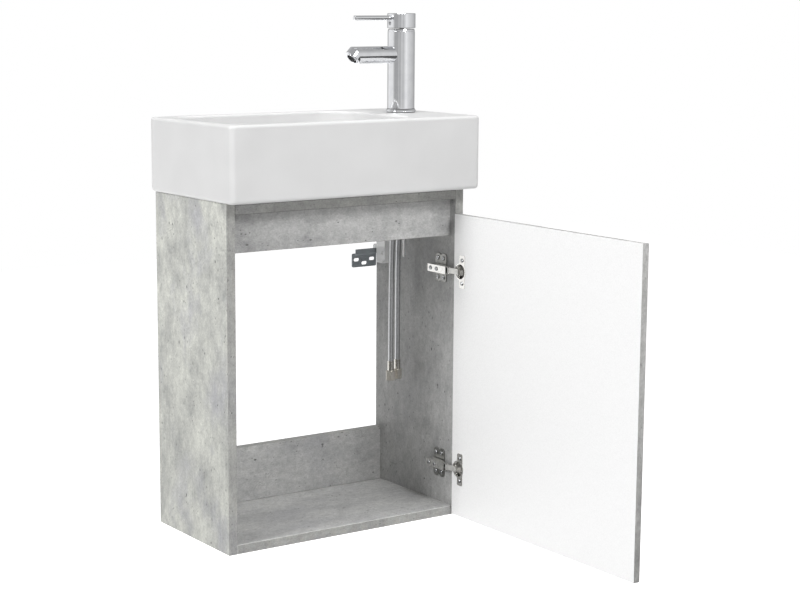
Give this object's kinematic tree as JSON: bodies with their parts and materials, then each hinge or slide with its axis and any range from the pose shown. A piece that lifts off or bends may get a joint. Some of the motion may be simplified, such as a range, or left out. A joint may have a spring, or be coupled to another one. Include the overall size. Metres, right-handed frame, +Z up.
{
  "type": "vanity unit",
  "caption": "Wall-hung cloakroom vanity: open-backed cabinet, rectangular basin with bowl and lever mixer on a side deck, and an overlay door on concealed cup hinges.",
  "frame": {"origin": "middle of the cabinet's bottom edge on the wall plane", "axes": "+X to the right seen from the room, +Y into the wall, +Z up; door drawn 90 degrees open"},
  "size_m": [0.464, 0.672, 0.8267],
  "materials": {
    "board": "matte",
    "door_board": "satin",
    "dowel": "matte",
    "ware": "gloss",
    "tap_chrome": "polished",
    "aerator": "matte",
    "tap_plastic": "satin",
    "gasket": "matte",
    "zinc_steel": "satin",
    "braid": "satin",
    "hose_end": "polished",
    "hose_nut": "satin",
    "hinge_steel": "satin",
    "screw_steel": "satin",
    "hanger_plastic": "satin",
    "hook_steel": "satin",
    "wall_plate_steel": "matte"
  },
  "bodies": {
    "cabinet": {"left_side_panel": "board", "right_side_panel": "board", "bottom_panel": "board", "top_front_rail": "board", "top_back_rail": "board", "front_apron": "board", "lower_wall_rail": "board", "dowels": "dowel", "basin": "ware", "tap_gasket": "gasket", "tap_body": "tap_chrome", "spout": "tap_chrome", "aerator": "aerator", "cartridge": "tap_plastic", "tap_rod": "zinc_steel", "clamp_washer": "zinc_steel", "clamp_nut": "zinc_steel", "hot_hose": "braid", "cold_hose": "braid", "hot_hose_nipple": "hose_end", "cold_hose_nipple": "hose_end", "hot_hose_ferrule": "hose_end", "cold_hose_ferrule": "hose_end", "hot_hose_nut": "hose_nut", "cold_hose_nut": "hose_nut", "upper_hinge_arm": "hinge_steel", "lower_hinge_arm": "hinge_steel", "arm_pins": "hinge_steel", "upper_hinge_plate": "hinge_steel", "lower_hinge_plate": "hinge_steel", "plate_screws": "screw_steel", "arm_screws": "screw_steel", "left_hanger": "hanger_plastic", "right_hanger": "hanger_plastic", "left_hanger_hook": "hook_steel", "right_hanger_hook": "hook_steel", "left_wall_plate": "wall_plate_steel", "right_wall_plate": "wall_plate_steel"},
    "hinge_links": {"upper_hinge_link": "hinge_steel", "lower_hinge_link": "hinge_steel"},
    "door": {"door_panel": "door_board", "upper_hinge_cup": "hinge_steel", "lower_hinge_cup": "hinge_steel", "cup_pins": "hinge_steel", "cup_screws": "screw_steel"},
    "mixer_swivel": {"cartridge_stem": "tap_plastic"},
    "lever": {"lever_head": "tap_chrome", "lever_rod": "tap_chrome", "lever_spindle": "zinc_steel", "lever_grub_screw": "tap_plastic"}
  },
  "joints": [
    {"name": "link_turn", "type": "hinge", "parent": "cabinet", "child": "hinge_links", "pos_m": [0.1965, -0.223, 0.247], "axis": [0, 0, 1], "range_deg": [-5.95, 35.5]},
    {"name": "door_swing", "type": "hinge", "parent": "hinge_links", "child": "door", "pos_m": [0.2055, -0.238, 0.247], "axis": [0, 0, 1], "range_deg": [-125.45, 20.91]},
    {"name": "mixer_turn", "type": "hinge", "parent": "cabinet", "child": "mixer_swivel", "pos_m": [0.176, -0.1145, 0.79], "axis": [0, 0, 1], "range_deg": [-45, 45]},
    {"name": "lever_lift", "type": "hinge", "parent": "mixer_swivel", "child": "lever", "pos_m": [0.195, -0.1145, 0.8042], "axis": [0, 1, 0], "range_deg": [0, 18]}
  ],
  "couplings": [
    {"joint": "link_turn", "follows": "door_swing", "ratio": -0.28257}
  ]
}
